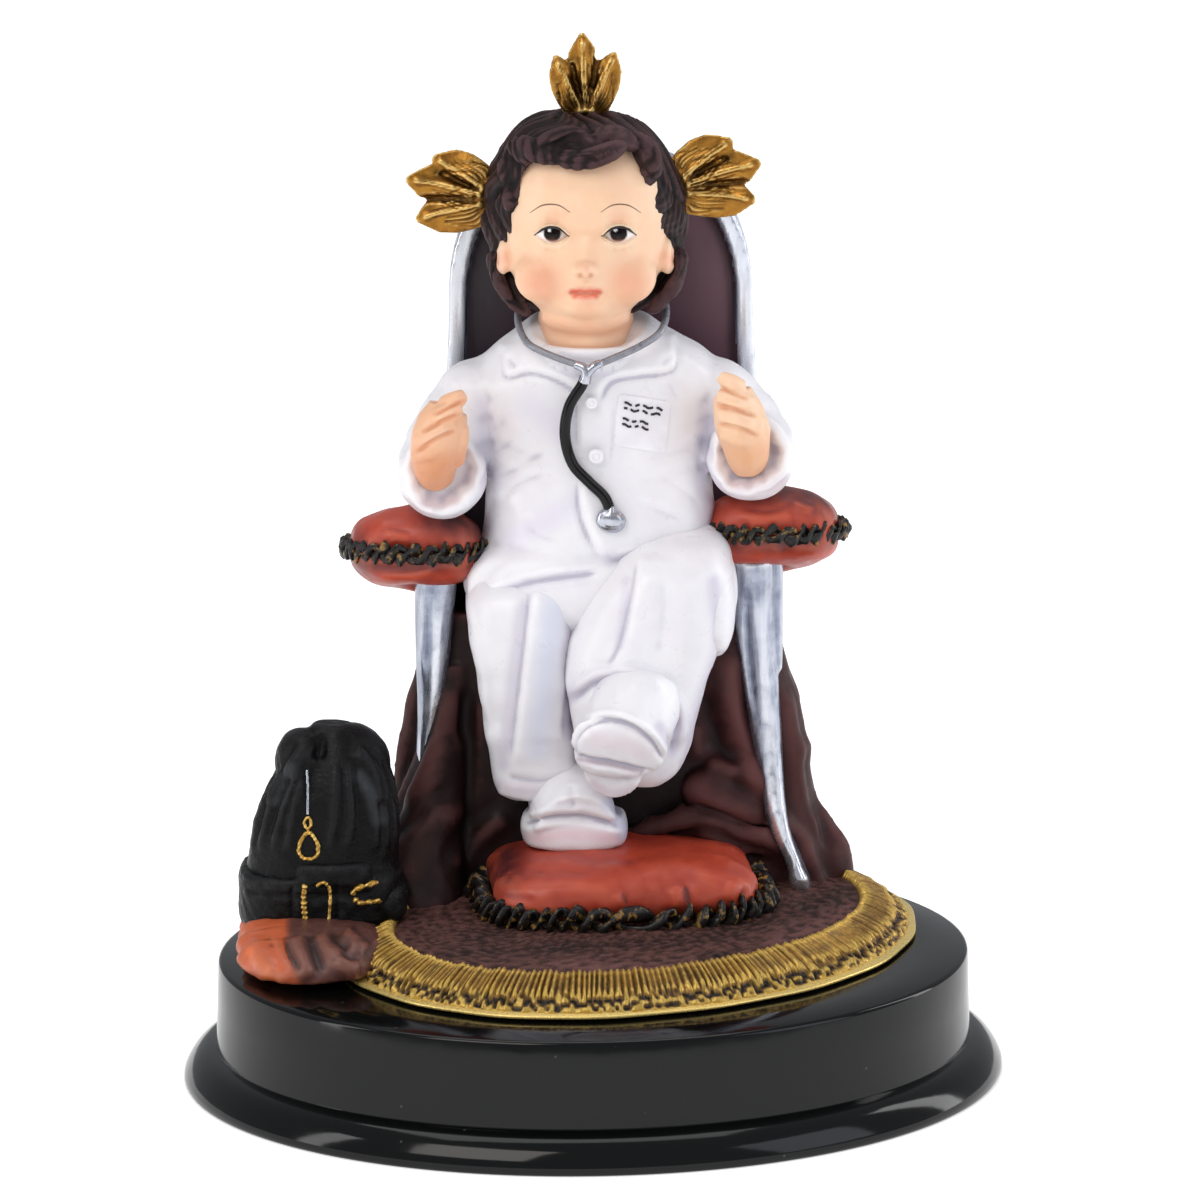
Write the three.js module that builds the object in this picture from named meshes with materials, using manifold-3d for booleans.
// Child doctor figurine: a painted resin casting on a glossy oval base, with three gold rays.
// Millimetres, +Z up. The origin is the centre of the underside of the base.
// The casting has its own frame, turned on the base: x to the child's left, y towards the chair's back.
// Its heights are counted from CASTING_DROP below the underside of the base.
import * as THREE from 'three';
import { mergeVertices } from 'three/addons/utils/BufferGeometryUtils.js';
import Module from 'manifold-3d';

const wasm = await Module();
wasm.setup();

// Driving dimensions
const CASTING_TURN = THREE.MathUtils.degToRad(-9);
const CASTING_DROP = 0.9;
const GLUE_GAP = 0.3;
const PLINTH = { halfLong: 50.3, halfShort: 41.6, top: 15.55, footTop: 4.6, wallInset: 4.0, topInset: 4.3 };
const PLINTH_SIDES = 40;
const FLOOR = PLINTH.top + GLUE_GAP + CASTING_DROP;
const CARPET = { x: 4.2, y: 3.1, halfLong: 36.9, halfShort: 29.0, turn: 0.585, top: 19.4 };
const FRINGE = { strands: 31, width: 4.4, ripple: 0.35, lip: 0.6, shoulder: 18.9 };
const SEAT_HEIGHT = 49.0;
const BACK = { x: 0.9, front: 27.4, rear: 30.8, foot: 45.0, halfWide: 18.7, halfSeat: 22.4 };
const ARCH = { spring: 90.5, apex: 111.0, steps: 14, square: 0.88 };
const RIM = { width: 2.0, panelInset: 0.9 };
const ARM_CUSHION = { half: [8.1, 8.0, 4.9], turn: 0, ruffle: 1.0, folds: 9, sides: 12, square: 0.82 };
const FOOT_CUSHION = [3.4, 7.6, 23.1];
const CUSHIONS = [
  { ...ARM_CUSHION, centre: [-22.0, 18.4, 62.6] },
  { ...ARM_CUSHION, centre: [22.3, 20.2, 64.6] },
  { half: [16.6, 11.2, 4.3], turn: 0.13, ruffle: 2.4, folds: 18, sides: 16, square: 0.7, centre: FOOT_CUSHION },
];
const BUNDLE = { x: -34.9, y: -4.2, z: 18.0, halfWide: 8.4, halfDeep: 13.8, above: 3.6, below: 1.2 };
const HEAD = { x: -1.1, y: 17.6, z: 102.8, halfWide: 9.9, halfDeep: 10.4, halfHigh: 14.0 };
const HAIR = { x: -1.05, y: 18.6, z: 104.6, halfWide: 12.5, halfDeep: 11.2, halfHigh: 13.0, wave: 0.55 };
const RAY = { depth: 19.0, thick: 1.9 };
const LOBE_WIDTHS = [0.75, 0.85, 1.0, 1.0, 0.72, 0.1];
const TUBE_RADIUS = 0.6;

const TAU = 2 * Math.PI;
const { lerp, clamp, smoothstep } = THREE.MathUtils;

// Signed power: rounds a circle towards a square below 1 and towards a star above 1.
function bent(value, power) {
  return Math.sign(value) * Math.abs(value) ** power;
}

// A smooth hump that is 1 at the centre and 0 from one width away.
function hump(value, centre, width) {
  return smoothstep(1 - Math.abs(value - centre) / width, 0, 1);
}

// Value at t (0 to 1) in a row of equally spaced values.
function along(values, t) {
  const place = clamp(t, 0, 1) * (values.length - 1);
  const index = Math.min(Math.floor(place), values.length - 2);
  return lerp(values[index], values[index + 1], place - index);
}

// Moves every vertex of a geometry with a function that changes a vector.
function moved(geometry, change) {
  const spots = geometry.attributes.position;
  const point = new THREE.Vector3();
  for (let i = 0; i < spots.count; i += 1) {
    point.fromBufferAttribute(spots, i);
    change(point);
    spots.setXYZ(i, point.x, point.y, point.z);
  }
  return geometry;
}

// Turns a closed geometry into a solid with its faces pointing out.
function solid(geometry) {
  geometry.deleteAttribute('normal');
  geometry.deleteAttribute('uv');
  const welded = mergeVertices(geometry, 1e-4);
  const spots = welded.attributes.position;
  const corners = [0, 1, 2].map(() => new THREE.Vector3());
  const faces = [];
  let volume = 0;
  for (let i = 0; i < welded.index.count; i += 3) {
    const face = [0, 1, 2].map((k) => welded.index.getX(i + k));
    if (new Set(face).size < 3) continue;
    face.forEach((vertex, k) => corners[k].fromBufferAttribute(spots, vertex));
    volume += corners[0].dot(corners[1].clone().cross(corners[2]));
    faces.push(face);
  }
  const outward = volume < 0 ? faces.map(([a, b, c]) => [a, c, b]) : faces;
  const triVerts = new Uint32Array(outward.flat());
  const vertProperties = new Float32Array(spots.array);
  return new wasm.Manifold(new wasm.Mesh({ numProp: 3, vertProperties, triVerts }));
}

// A closed form over a unit ball, its pole along z, whose points are moved by a function.
function ball(sides, rings, change) {
  return solid(moved(new THREE.SphereGeometry(1, sides, rings).rotateX(Math.PI / 2), change));
}

// An egg with given centre, half sizes and squareness.
function egg(centre, half, sides = 12, rings = 8, power = 1) {
  return ball(sides, rings, (point) => {
    point.set(
      centre[0] + half[0] * bent(point.x, power),
      centre[1] + half[1] * bent(point.y, power),
      centre[2] + half[2] * bent(point.z, power),
    );
  });
}

// A closed form over a unit cylinder: place(angle, t) gives the wall, the ends are flat.
function column(sides, levels, place) {
  const middle = [0, 1].map((t) => {
    const sum = new THREE.Vector3();
    for (let k = 0; k < sides; k += 1) sum.add(place((k / sides) * TAU, t));
    return sum.divideScalar(sides);
  });
  const geometry = new THREE.CylinderGeometry(1, 1, 1, sides, levels).rotateX(Math.PI / 2);
  return solid(moved(geometry, (point) => {
    const t = Math.round((point.z + 0.5) * levels) / levels;
    const inside = Math.hypot(point.x, point.y) < 0.5;
    point.copy(inside ? middle[Math.round(t)] : place(Math.atan2(point.y, point.x), t));
  }));
}

// A form through level outlines, each [z, left, right, front, back].
function levelled(outlines, sides = 20, power = 0.8, relief = () => 0) {
  const [zs, lefts, rights, fronts, backs] = [0, 1, 2, 3, 4].map((k) => outlines.map((row) => row[k]));
  return column(sides, outlines.length - 1, (angle, t) => {
    const [left, right, front, back] = [lefts, rights, fronts, backs].map((row) => along(row, t));
    const grow = 1 + relief(angle, t);
    return new THREE.Vector3(
      (left + right) / 2 + ((right - left) / 2) * grow * bent(Math.cos(angle), power),
      (front + back) / 2 + ((back - front) / 2) * grow * bent(Math.sin(angle), power),
      along(zs, t),
    );
  });
}

// A limb along a smooth path, with a radius at each of its points.
function limb(points, radii, sides = 12, steps = 8) {
  const path = new THREE.CatmullRomCurve3(points.map((point) => new THREE.Vector3(...point)));
  const frames = path.computeFrenetFrames(steps, false);
  return column(sides, steps, (angle, t) => {
    const step = Math.round(t * steps);
    const radius = along(radii, t);
    return path.getPointAt(t)
      .addScaledVector(frames.normals[step], radius * Math.cos(angle))
      .addScaledVector(frames.binormals[step], radius * Math.sin(angle));
  });
}

// A round bar of one thickness along a smooth path.
function bar(points, radius, sides = 6, steps = 10) {
  const path = new THREE.CatmullRomCurve3(points.map((point) => new THREE.Vector3(...point)));
  const outline = new THREE.Shape();
  outline.absellipse(0, 0, radius, radius, 0, TAU);
  const options = { extrudePath: path, steps, curveSegments: Math.ceil(sides / 2), bevelEnabled: false };
  return solid(new THREE.ExtrudeGeometry(outline, options));
}

// A flat plate with its outline in x and z, between two depths.
function plate(outline, front, back, bevel = 0) {
  const options = {
    depth: back - front - 2 * bevel,
    bevelEnabled: bevel > 0,
    bevelThickness: bevel,
    bevelSize: bevel,
    bevelOffset: -bevel,
    bevelSegments: 1,
    curveSegments: 12,
  };
  const geometry = new THREE.ExtrudeGeometry(outline, options).rotateX(Math.PI / 2);
  return solid(geometry.translate(0, back - bevel, 0));
}

// Joins solids into one.
function joined(parts) {
  return parts.reduce((whole, part) => whole.add(part));
}

// Gives a solid back as a mesh.
function meshOf(name, body, colour, roughness, metalness) {
  const data = body.getMesh();
  const geometry = new THREE.BufferGeometry();
  geometry.setAttribute('position', new THREE.BufferAttribute(data.vertProperties, 3));
  geometry.setIndex(new THREE.BufferAttribute(data.triVerts, 1));
  geometry.computeVertexNormals();
  const material = new THREE.MeshStandardMaterial({ color: colour, roughness, metalness });
  const mesh = new THREE.Mesh(geometry, material);
  mesh.name = name;
  return mesh;
}

// Oval base: a rolled foot, a small cove and an upright drum.
function plinth() {
  const profile = [
    [0.5, 0], [0, 0.5], [0.35, 1.9], [1.3, 3.3], [2.9, 4.4], [PLINTH.wallInset, PLINTH.footTop],
    [PLINTH.topInset, PLINTH.top - 0.5], [PLINTH.topInset + 0.5, PLINTH.top],
  ];
  const rows = profile.map(([inset, z]) => new THREE.Vector2(PLINTH.halfLong - inset, z));
  const points = [new THREE.Vector2(0, 0), ...rows, new THREE.Vector2(0, PLINTH.top)];
  const geometry = new THREE.LatheGeometry(points, PLINTH_SIDES).rotateX(Math.PI / 2);
  return solid(moved(geometry, (point) => {
    const inset = PLINTH.halfLong - Math.hypot(point.x, point.y);
    point.y *= inset < PLINTH.halfShort ? (PLINTH.halfShort - inset) / (PLINTH.halfLong - inset) : 1;
  }));
}

// Oval carpet with a fringe of strands that slopes down to a thin lip.
function carpet() {
  const reach = [1.0, 1.0, 0.5, 0, 0];
  const heights = [FLOOR, FLOOR + FRINGE.lip, 18.0, FRINGE.shoulder, CARPET.top];
  const insets = [0.2, 0, FRINGE.width * 0.5, FRINGE.width, FRINGE.width + 8];
  return column(FRINGE.strands * 2, insets.length - 1, (angle, t) => {
    const strand = Math.cos(angle * FRINGE.strands) * FRINGE.ripple * along(reach, t);
    const inset = along(insets, t) - strand;
    const x = (CARPET.halfLong - inset) * Math.cos(angle);
    const y = (CARPET.halfShort - inset) * Math.sin(angle);
    return new THREE.Vector3(
      CARPET.x + x * Math.cos(CARPET.turn) - y * Math.sin(CARPET.turn),
      CARPET.y + x * Math.sin(CARPET.turn) + y * Math.cos(CARPET.turn),
      along(heights, t),
    );
  });
}

// Stuffed cushion with a gathered ruffle round its middle.
function cushion({ centre, half, turn, ruffle, folds, sides, square }) {
  const body = ball(sides, 6, (point) => {
    const dent = 1 - 0.08 * hump(Math.hypot(point.x, point.y), 0, 0.8);
    const x = half[0] * bent(point.x, square);
    const y = half[1] * bent(point.y, square);
    point.set(
      centre[0] + x * Math.cos(turn) - y * Math.sin(turn),
      centre[1] + x * Math.sin(turn) + y * Math.cos(turn),
      centre[2] + half[2] * dent * bent(point.z, 0.8),
    );
  });
  const band = column(folds * 2, 2, (angle, t) => {
    const fold = ruffle * (0.55 + 0.45 * Math.cos(angle * folds)) * (t === 0.5 ? 1 : 0.55);
    const x = (half[0] + fold) * bent(Math.cos(angle), 0.7);
    const y = (half[1] + fold) * bent(Math.sin(angle), 0.7);
    return new THREE.Vector3(
      centre[0] + x * Math.cos(turn) - y * Math.sin(turn),
      centre[1] + x * Math.sin(turn) + y * Math.cos(turn),
      centre[2] - 0.3 * half[2] + (t - 0.5) * 1.9 + 0.25 * Math.sin(angle * folds),
    );
  });
  return body.add(band);
}

// Outline of the chair's back: straight stiles that rise into a round arch.
function backOutline(inset) {
  const outline = new THREE.Shape();
  const foot = BACK.foot + inset;
  outline.moveTo(BACK.x - BACK.halfSeat + inset, foot);
  outline.lineTo(BACK.x + BACK.halfSeat - inset, foot);
  for (let k = 0; k <= ARCH.steps; k += 1) {
    const angle = (k / ARCH.steps) * Math.PI;
    outline.lineTo(
      BACK.x + (BACK.halfWide - inset) * bent(Math.cos(angle), ARCH.square),
      ARCH.spring + (ARCH.apex - ARCH.spring - inset) * bent(Math.sin(angle), ARCH.square),
    );
  }
  outline.closePath();
  return outline;
}

// Chair: arched back with a rim, side panels and front legs that taper and splay.
function chair() {
  const rim = plate(backOutline(0), BACK.front, BACK.rear, 0.6);
  const recess = plate(backOutline(RIM.width), BACK.front - 1, BACK.front + RIM.panelInset);
  const rearRecess = plate(backOutline(RIM.width), BACK.rear - RIM.panelInset, BACK.rear + 1);
  const legs = [
    levelled([
      [FLOOR + 2, 24.9, 27.0, 15.9, 18.2], [23.5, 23.6, 25.6, 16.2, 18.6], [28.6, 21.2, 23.9, 16.0, 19.2],
      [37.6, 19.6, 23.3, 15.4, 19.6], [50, 17.4, 22.5, 15.0, 20.2], [60.5, 16.7, 22.2, 14.6, 20.6],
    ], 8, 0.8),
    levelled([
      [FLOOR + 2, -25.6, -23.5, 14.9, 17.2], [28, -22.6, -20.6, 15.2, 18.2], [38.8, -21.8, -19.1, 14.8, 18.6],
      [50, -21.9, -17.5, 14.2, 19.2], [59.5, -21.8, -16.6, 13.8, 19.6],
    ], 8, 0.8),
  ];
  const sides = [
    levelled([[SEAT_HEIGHT, 20.6, 23.2, 17, 30], [61.0, 20.4, 23.4, 17, 30]], 8, 0.3),
    levelled([[SEAT_HEIGHT, -21.9, -18.6, 16, 30], [59.0, -21.9, -18.4, 16, 30]], 8, 0.3),
  ];
  return joined([rim.subtract(recess).subtract(rearRecess), ...legs, ...sides]);
}

// Cloth over the seat: hangs to the floor in folds that widen downwards and sweep out at the front left.
function drape() {
  const rows = [
    [FLOOR, -27.2, 31.2, 14.2, 33.4], [19.4, -27.0, 31.2, 14.0, 33.2], [22.4, -25.8, 30.2, 14.4, 32.6],
    [26.0, -24.6, 28.2, 15.0, 32.0], [32.0, -23.4, 26.0, 15.4, 31.6], [40.0, -22.4, 24.6, 15.4, 31.4],
    [47.3, -21.6, 23.6, 15.4, 31.2], [54.5, -20.2, 21.6, 15.6, 30.4],
  ];
  const folds = (angle, t) => (1 - t) * (0.035 * Math.cos(angle * 13 + 0.8) + 0.02 * Math.cos(angle * 7 + 2));
  const sweep = levelled([
    [FLOOR, -26.6, -15.5, 4.6, 22], [20.5, -26.4, -15.8, 5.0, 22], [24, -25.8, -16.4, 7.4, 22],
    [30, -24.0, -16.0, 11.5, 22], [38, -21.6, -15.2, 14.2, 22], [48, -20, -14.6, 15.4, 22],
  ], 12, 0.85);
  return joined([levelled(rows, 26, 0.5, folds), sweep]);
}

// Doctor's bag: pleated sides that gather to a notched top, over a belt band.
function bag() {
  const pleats = (angle, t) => 0.03 * hump(t, 0.6, 0.5) * Math.cos(angle * 6);
  const body = levelled([
    [FLOOR + 2, -42.0, -24.2, -2.2, 10.6], [24.3, -42.6, -24.0, -2.8, 10.8], [30.0, -41.9, -24.0, -2.4, 10.4],
    [35.8, -40.8, -24.4, -1.4, 9.8], [39.2, -38.4, -26.6, -0.2, 9.0], [42.0, -36.0, -29.6, 1.4, 8.0],
    [43.8, -34.6, -32.2, 2.8, 6.4],
  ], 20, 0.8, pleats);
  const belt = levelled([
    [FLOOR + 3, -43.0, -23.8, -3.2, 11.2], [21.4, -43.4, -23.6, -3.6, 11.6], [25.4, -43.4, -23.6, -3.6, 11.6],
    [26.6, -42.8, -24.0, -3.0, 11.0],
  ], 16, 0.75);
  const flap = egg([-29.6, 6.2, 38.4], [5.4, 4.4, 5.0], 8, 5, 1);
  return joined([body, belt, flap]);
}

// Folded cloth that the bag stands on, with slanting folds.
function bundle() {
  return ball(20, 6, (point) => {
    const fold = 1 + 0.06 * Math.cos(7 * Math.atan2(point.y, point.x) + 3 * point.z);
    const top = point.z > 0 ? BUNDLE.above : BUNDLE.below;
    point.set(
      BUNDLE.x + BUNDLE.halfWide * fold * bent(point.x, 0.8),
      BUNDLE.y + BUNDLE.halfDeep * fold * bent(point.y, 0.8),
      BUNDLE.z + top * bent(point.z, 0.7),
    );
  });
}

// Coat: body, skirt over the lap, and sleeves whose cuffs face forward.
function coat() {
  const body = levelled([
    [SEAT_HEIGHT - 1, -15.4, 16.4, 10.0, 29.0], [56, -15.2, 16.6, 8.8, 29.4], [62, -14.0, 15.6, 8.6, 29.4],
    [68, -13.4, 14.9, 9.0, 29.2], [75, -13.2, 14.4, 10.2, 29.0], [80, -14.4, 15.4, 10.8, 28.8],
    [84, -15.0, 16.2, 11.6, 28.6], [87, -12.8, 13.6, 12.0, 28.0], [89.6, -9.2, 8.8, 11.6, 27.0],
    [91.4, -7.4, 6.4, 12.4, 25.0],
  ], 16, 0.9);
  const lap = egg([0.6, 15.2, 59.2], [16.6, 8.4, 6.6], 14, 5, 0.75);
  const tail = egg([14.6, 13.0, 57.6], [3.0, 8.0, 6.6], 8, 5, 0.8);
  const sleeves = [
    limb(
      [[-10.0, 20.5, 82.6], [-15.0, 19.6, 79.0], [-18.4, 16.8, 73.4], [-18.5, 12.6, 72.4], [-18.4, 9.6, 74.4]],
      [4.6, 5.2, 5.3, 5.3, 5.1], 10, 6),
    limb(
      [[10.6, 20.5, 82.6], [15.8, 19.8, 79.0], [19.0, 17.4, 75.2], [19.2, 13.2, 74.8], [19.2, 10.4, 76.6]],
      [4.6, 5.2, 5.2, 5.3, 5.3], 10, 6),
  ];
  const lapels = [
    levelled([[82, -4.4, -1, 9.9, 13], [87.2, -10.6, -4, 11.2, 15], [90.6, -9.2, -7.4, 12.6, 18]], 8, 0.8),
    levelled([[82, 1.4, 4.8, 9.9, 13], [87.4, 4.2, 9.8, 11.0, 15], [90.6, 6.8, 8.6, 12.6, 18]], 8, 0.8),
  ];
  return joined([body, lap, tail, ...sleeves, ...lapels]);
}

// Hands: upright mitts that lean in over the cuffs.
function hands() {
  return joined([
    limb(
      [[-19.2, 11.5, 73.6], [-19.2, 9.2, 76.6], [-18.3, 8.4, 80.6], [-16.8, 8.6, 84.2], [-16.4, 8.8, 85.2]],
      [2.2, 3.2, 3.4, 2.2, 0.8], 8, 6),
    limb(
      [[18.8, 12.2, 75.2], [18.4, 9.8, 78.0], [17.6, 9.2, 82.0], [15.9, 9.4, 86.2], [15.5, 9.6, 87.4]],
      [2.2, 3.2, 3.3, 2.1, 0.8], 8, 6),
  ]);
}

// Trousers and shoes: one foot on the cushion, the other ankle crossed over in front.
function legs() {
  const planted = levelled([
    [32.7, -10.8, -3.6, 8.8, 15.8], [34.2, -12.0, -2.4, 7.6, 16.6], [38.5, -12.5, -2.2, 7.0, 17],
    [45, -13.4, -2.8, 6.4, 17.5], [53, -14.9, -3.2, 6.0, 20], [58, -15.6, -2.6, 6.4, 22],
    [61.2, -15.0, -2.4, 8.2, 22], [63, -13.4, -3.4, 11, 22],
  ], 12, 0.62);
  const crossed = levelled([
    [35.9, 3.6, 8.6, 4.6, 12], [37.3, 0.0, 10.4, 3.2, 13], [41, -2.2, 12.0, 2.4, 14],
    [46.8, -3.2, 13.3, 2.4, 15], [50.6, -3.6, 14.7, 2.6, 17], [57.4, -1.6, 16.4, 2.8, 20],
    [62, 1.4, 17.0, 3.6, 22], [65.0, 4.4, 16.2, 6.6, 22], [66.4, 7.4, 14.2, 10.6, 22],
  ], 12, 0.7);
  const shoe = limb(
    [[-3.2, 15, 31.6], [-2.8, 11, 31.4], [-2.4, 7.6, 31.0], [-2.3, 5.6, 30.6]], [4.4, 5.2, 5.6, 5.2], 10, 3);
  const instep = levelled(
    [[27.4, -8.4, 3.8, 5.8, 15], [29.2, -8.8, 4.2, 5.4, 15.4], [32, -8.2, 3.4, 6.6, 15.4]], 12, 0.8);
  const raised = limb(
    [[6.0, 9.0, 49.0], [5.4, 5.4, 47.2], [4.4, 2.0, 44.9], [3.4, -1.2, 42.9]], [4.6, 5.6, 5.6, 5.3], 12, 3);
  const heel = limb([[3.4, 6.0, 40.0], [2.5, 0.4, 38.9]], [3.6, 3.9], 10, 1);
  return joined([planted, crossed, shoe, instep, raised, heel]);
}

// Head: rounded child's head with a full lower face, a small nose, ears and a short neck.
function head() {
  const skull = ball(16, 10, (point) => {
    const low = clamp(-point.z, 0, 1);
    const wide = HEAD.halfWide * (1 - 0.12 * low * low);
    const front = point.y < 0 ? 1 + 0.12 * low : 1;
    point.set(
      HEAD.x + wide * bent(point.x, 0.92),
      HEAD.y + HEAD.halfDeep * front * bent(point.y, 0.92),
      HEAD.z + HEAD.halfHigh * bent(point.z, 0.95),
    );
  });
  const nose = egg([HEAD.x, HEAD.y - HEAD.halfDeep + 0.3, HEAD.z - 3.6], [1.2, 1.3, 1.6], 6, 4);
  const ears = [-1, 1].map((side) => egg(
    [HEAD.x + side * (HEAD.halfWide + 0.1), HEAD.y - 0.8, HEAD.z - 3.6], [1.1, 1.7, 2.7], 7, 4));
  const neck = levelled(
    [[84, -8.6, 7.4, 12.0, 25], [88.4, -7.8, 6.8, 11.2, 24.6], [93, -7.4, 6.2, 11.8, 24]], 12, 1);
  const shirt = levelled(
    [[86.4, -9.2, 8.6, 10.6, 24], [88.2, -8.6, 7.9, 10.7, 24.4], [88.9, -8.2, 7.3, 11.0, 24.4]], 12, 1);
  return joined([skull, nose, ...ears, neck, shirt]);
}

// Hair: a cap of wavy locks, open over the face, with curls at the sides, swollen by a clearance.
function hair(clearance = 0) {
  return ball(24, 12, (point) => {
    const side = Math.atan2(point.x, -point.y);
    const hairline = smoothstep(0.5 - point.z - 0.1 * Math.sin(3 * side), 0, 0.22);
    const face = smoothstep(1.02 - Math.abs(side), 0, 0.3) * hairline;
    const below = smoothstep(-point.z, 0.72, 1);
    const wave = HAIR.wave * Math.cos(11 * side + 5 * point.z) * Math.sqrt(1 - point.z ** 2) + clearance;
    const grow = 1 - 0.3 * face - 0.35 * below;
    point.set(
      HAIR.x + (HAIR.halfWide + wave) * grow * bent(point.x, 0.94),
      HAIR.y + (HAIR.halfDeep + wave) * grow * bent(point.y, 0.94),
      HAIR.z + (HAIR.halfHigh + wave) * grow * bent(point.z, 0.94),
    );
  });
}

// Stethoscope in relief: two neck tubes, the long tube and the chest piece.
function stethoscope() {
  return joined([
    bar([[-8.7, 16.5, 92.0], [-8.6, 12.4, 90.2], [-5.2, 10.1, 88.6], [-0.6, 9.6, 87.2]], TUBE_RADIUS, 4, 4),
    bar([[8.4, 16.5, 92.0], [7.8, 12.4, 90.4], [4.0, 10.1, 88.4], [0.0, 9.6, 87.4]], TUBE_RADIUS, 4, 4),
    bar([[-0.6, 10.2, 87.6], [-1.3, 10.1, 85.6], [-3.0, 10.0, 82.2], [-3.4, 9.9, 79.0], [-2.0, 9.5, 75.3],
      [0.2, 9.1, 73.2], [1.9, 8.8, 71.3], [2.1, 8.8, 69.4]], TUBE_RADIUS, 4, 9),
    egg([2.2, 8.6, 68.5], [1.8, 0.9, 1.6], 10, 5),
  ]);
}

// One gold ray: three pointed lobes that fan out from a common root, each with a middle rib.
function ray(root, lobes) {
  const parts = lobes.map(([angle, length, width]) => ball(8, 5, (point) => {
    const t = (point.z + 1) / 2;
    const wall = Math.sqrt(1 - point.z ** 2);
    const spread = wall > 0 ? (width * along(LOBE_WIDTHS, t)) / wall : 0;
    const rib = 0.5 + 0.5 * (1 - Math.abs(point.x));
    const across = spread * point.x;
    const up = length * t;
    point.set(
      root[0] + across * Math.cos(angle) + up * Math.sin(angle),
      RAY.depth + (RAY.thick / 2) * rib * bent(point.y, 0.8),
      root[1] - across * Math.sin(angle) + up * Math.cos(angle),
    );
  }));
  return joined(parts).subtract(hair(GLUE_GAP));
}

// Each ray's root as x and height, and its lobes as tilt from upright, length and half width.
const RAYS = [
  { name: 'ray_top', root: [-0.95, 115.6], lobes: [[-0.42, 9.3, 2.2], [-0.04, 11.5, 2.4], [0.38, 9.6, 2.2]] },
  { name: 'ray_left', root: [-11.2, 106.2], lobes: [[-1.02, 9.9, 3.1], [-1.36, 12.1, 3.1], [-1.82, 10.8, 3]] },
  { name: 'ray_right', root: [8.8, 107.2], lobes: [[0.88, 10.4, 3.2], [1.25, 12.4, 3.2], [1.66, 11.0, 3.0]] },
];

const rays = RAYS.map(({ root, lobes }) => ray(root, lobes));
const casting = joined([
  carpet(), ...CUSHIONS.map(cushion), chair(), drape(), bag(), bundle(), coat(), hands(), legs(), head(),
  hair(), stethoscope(),
]);

const figure = new THREE.Group();
figure.add(meshOf('plinth', plinth(), 0x0b0c0d, 0.12, 0));
const turned = new THREE.Group();
turned.rotation.z = CASTING_TURN;
turned.position.z = -CASTING_DROP;
turned.add(meshOf('casting', casting, 0xd8d4dc, 0.45, 0));
RAYS.forEach(({ name }, k) => turned.add(meshOf(name, rays[k], 0xb8862f, 0.35, 0.8)));
figure.add(turned);

export default figure;
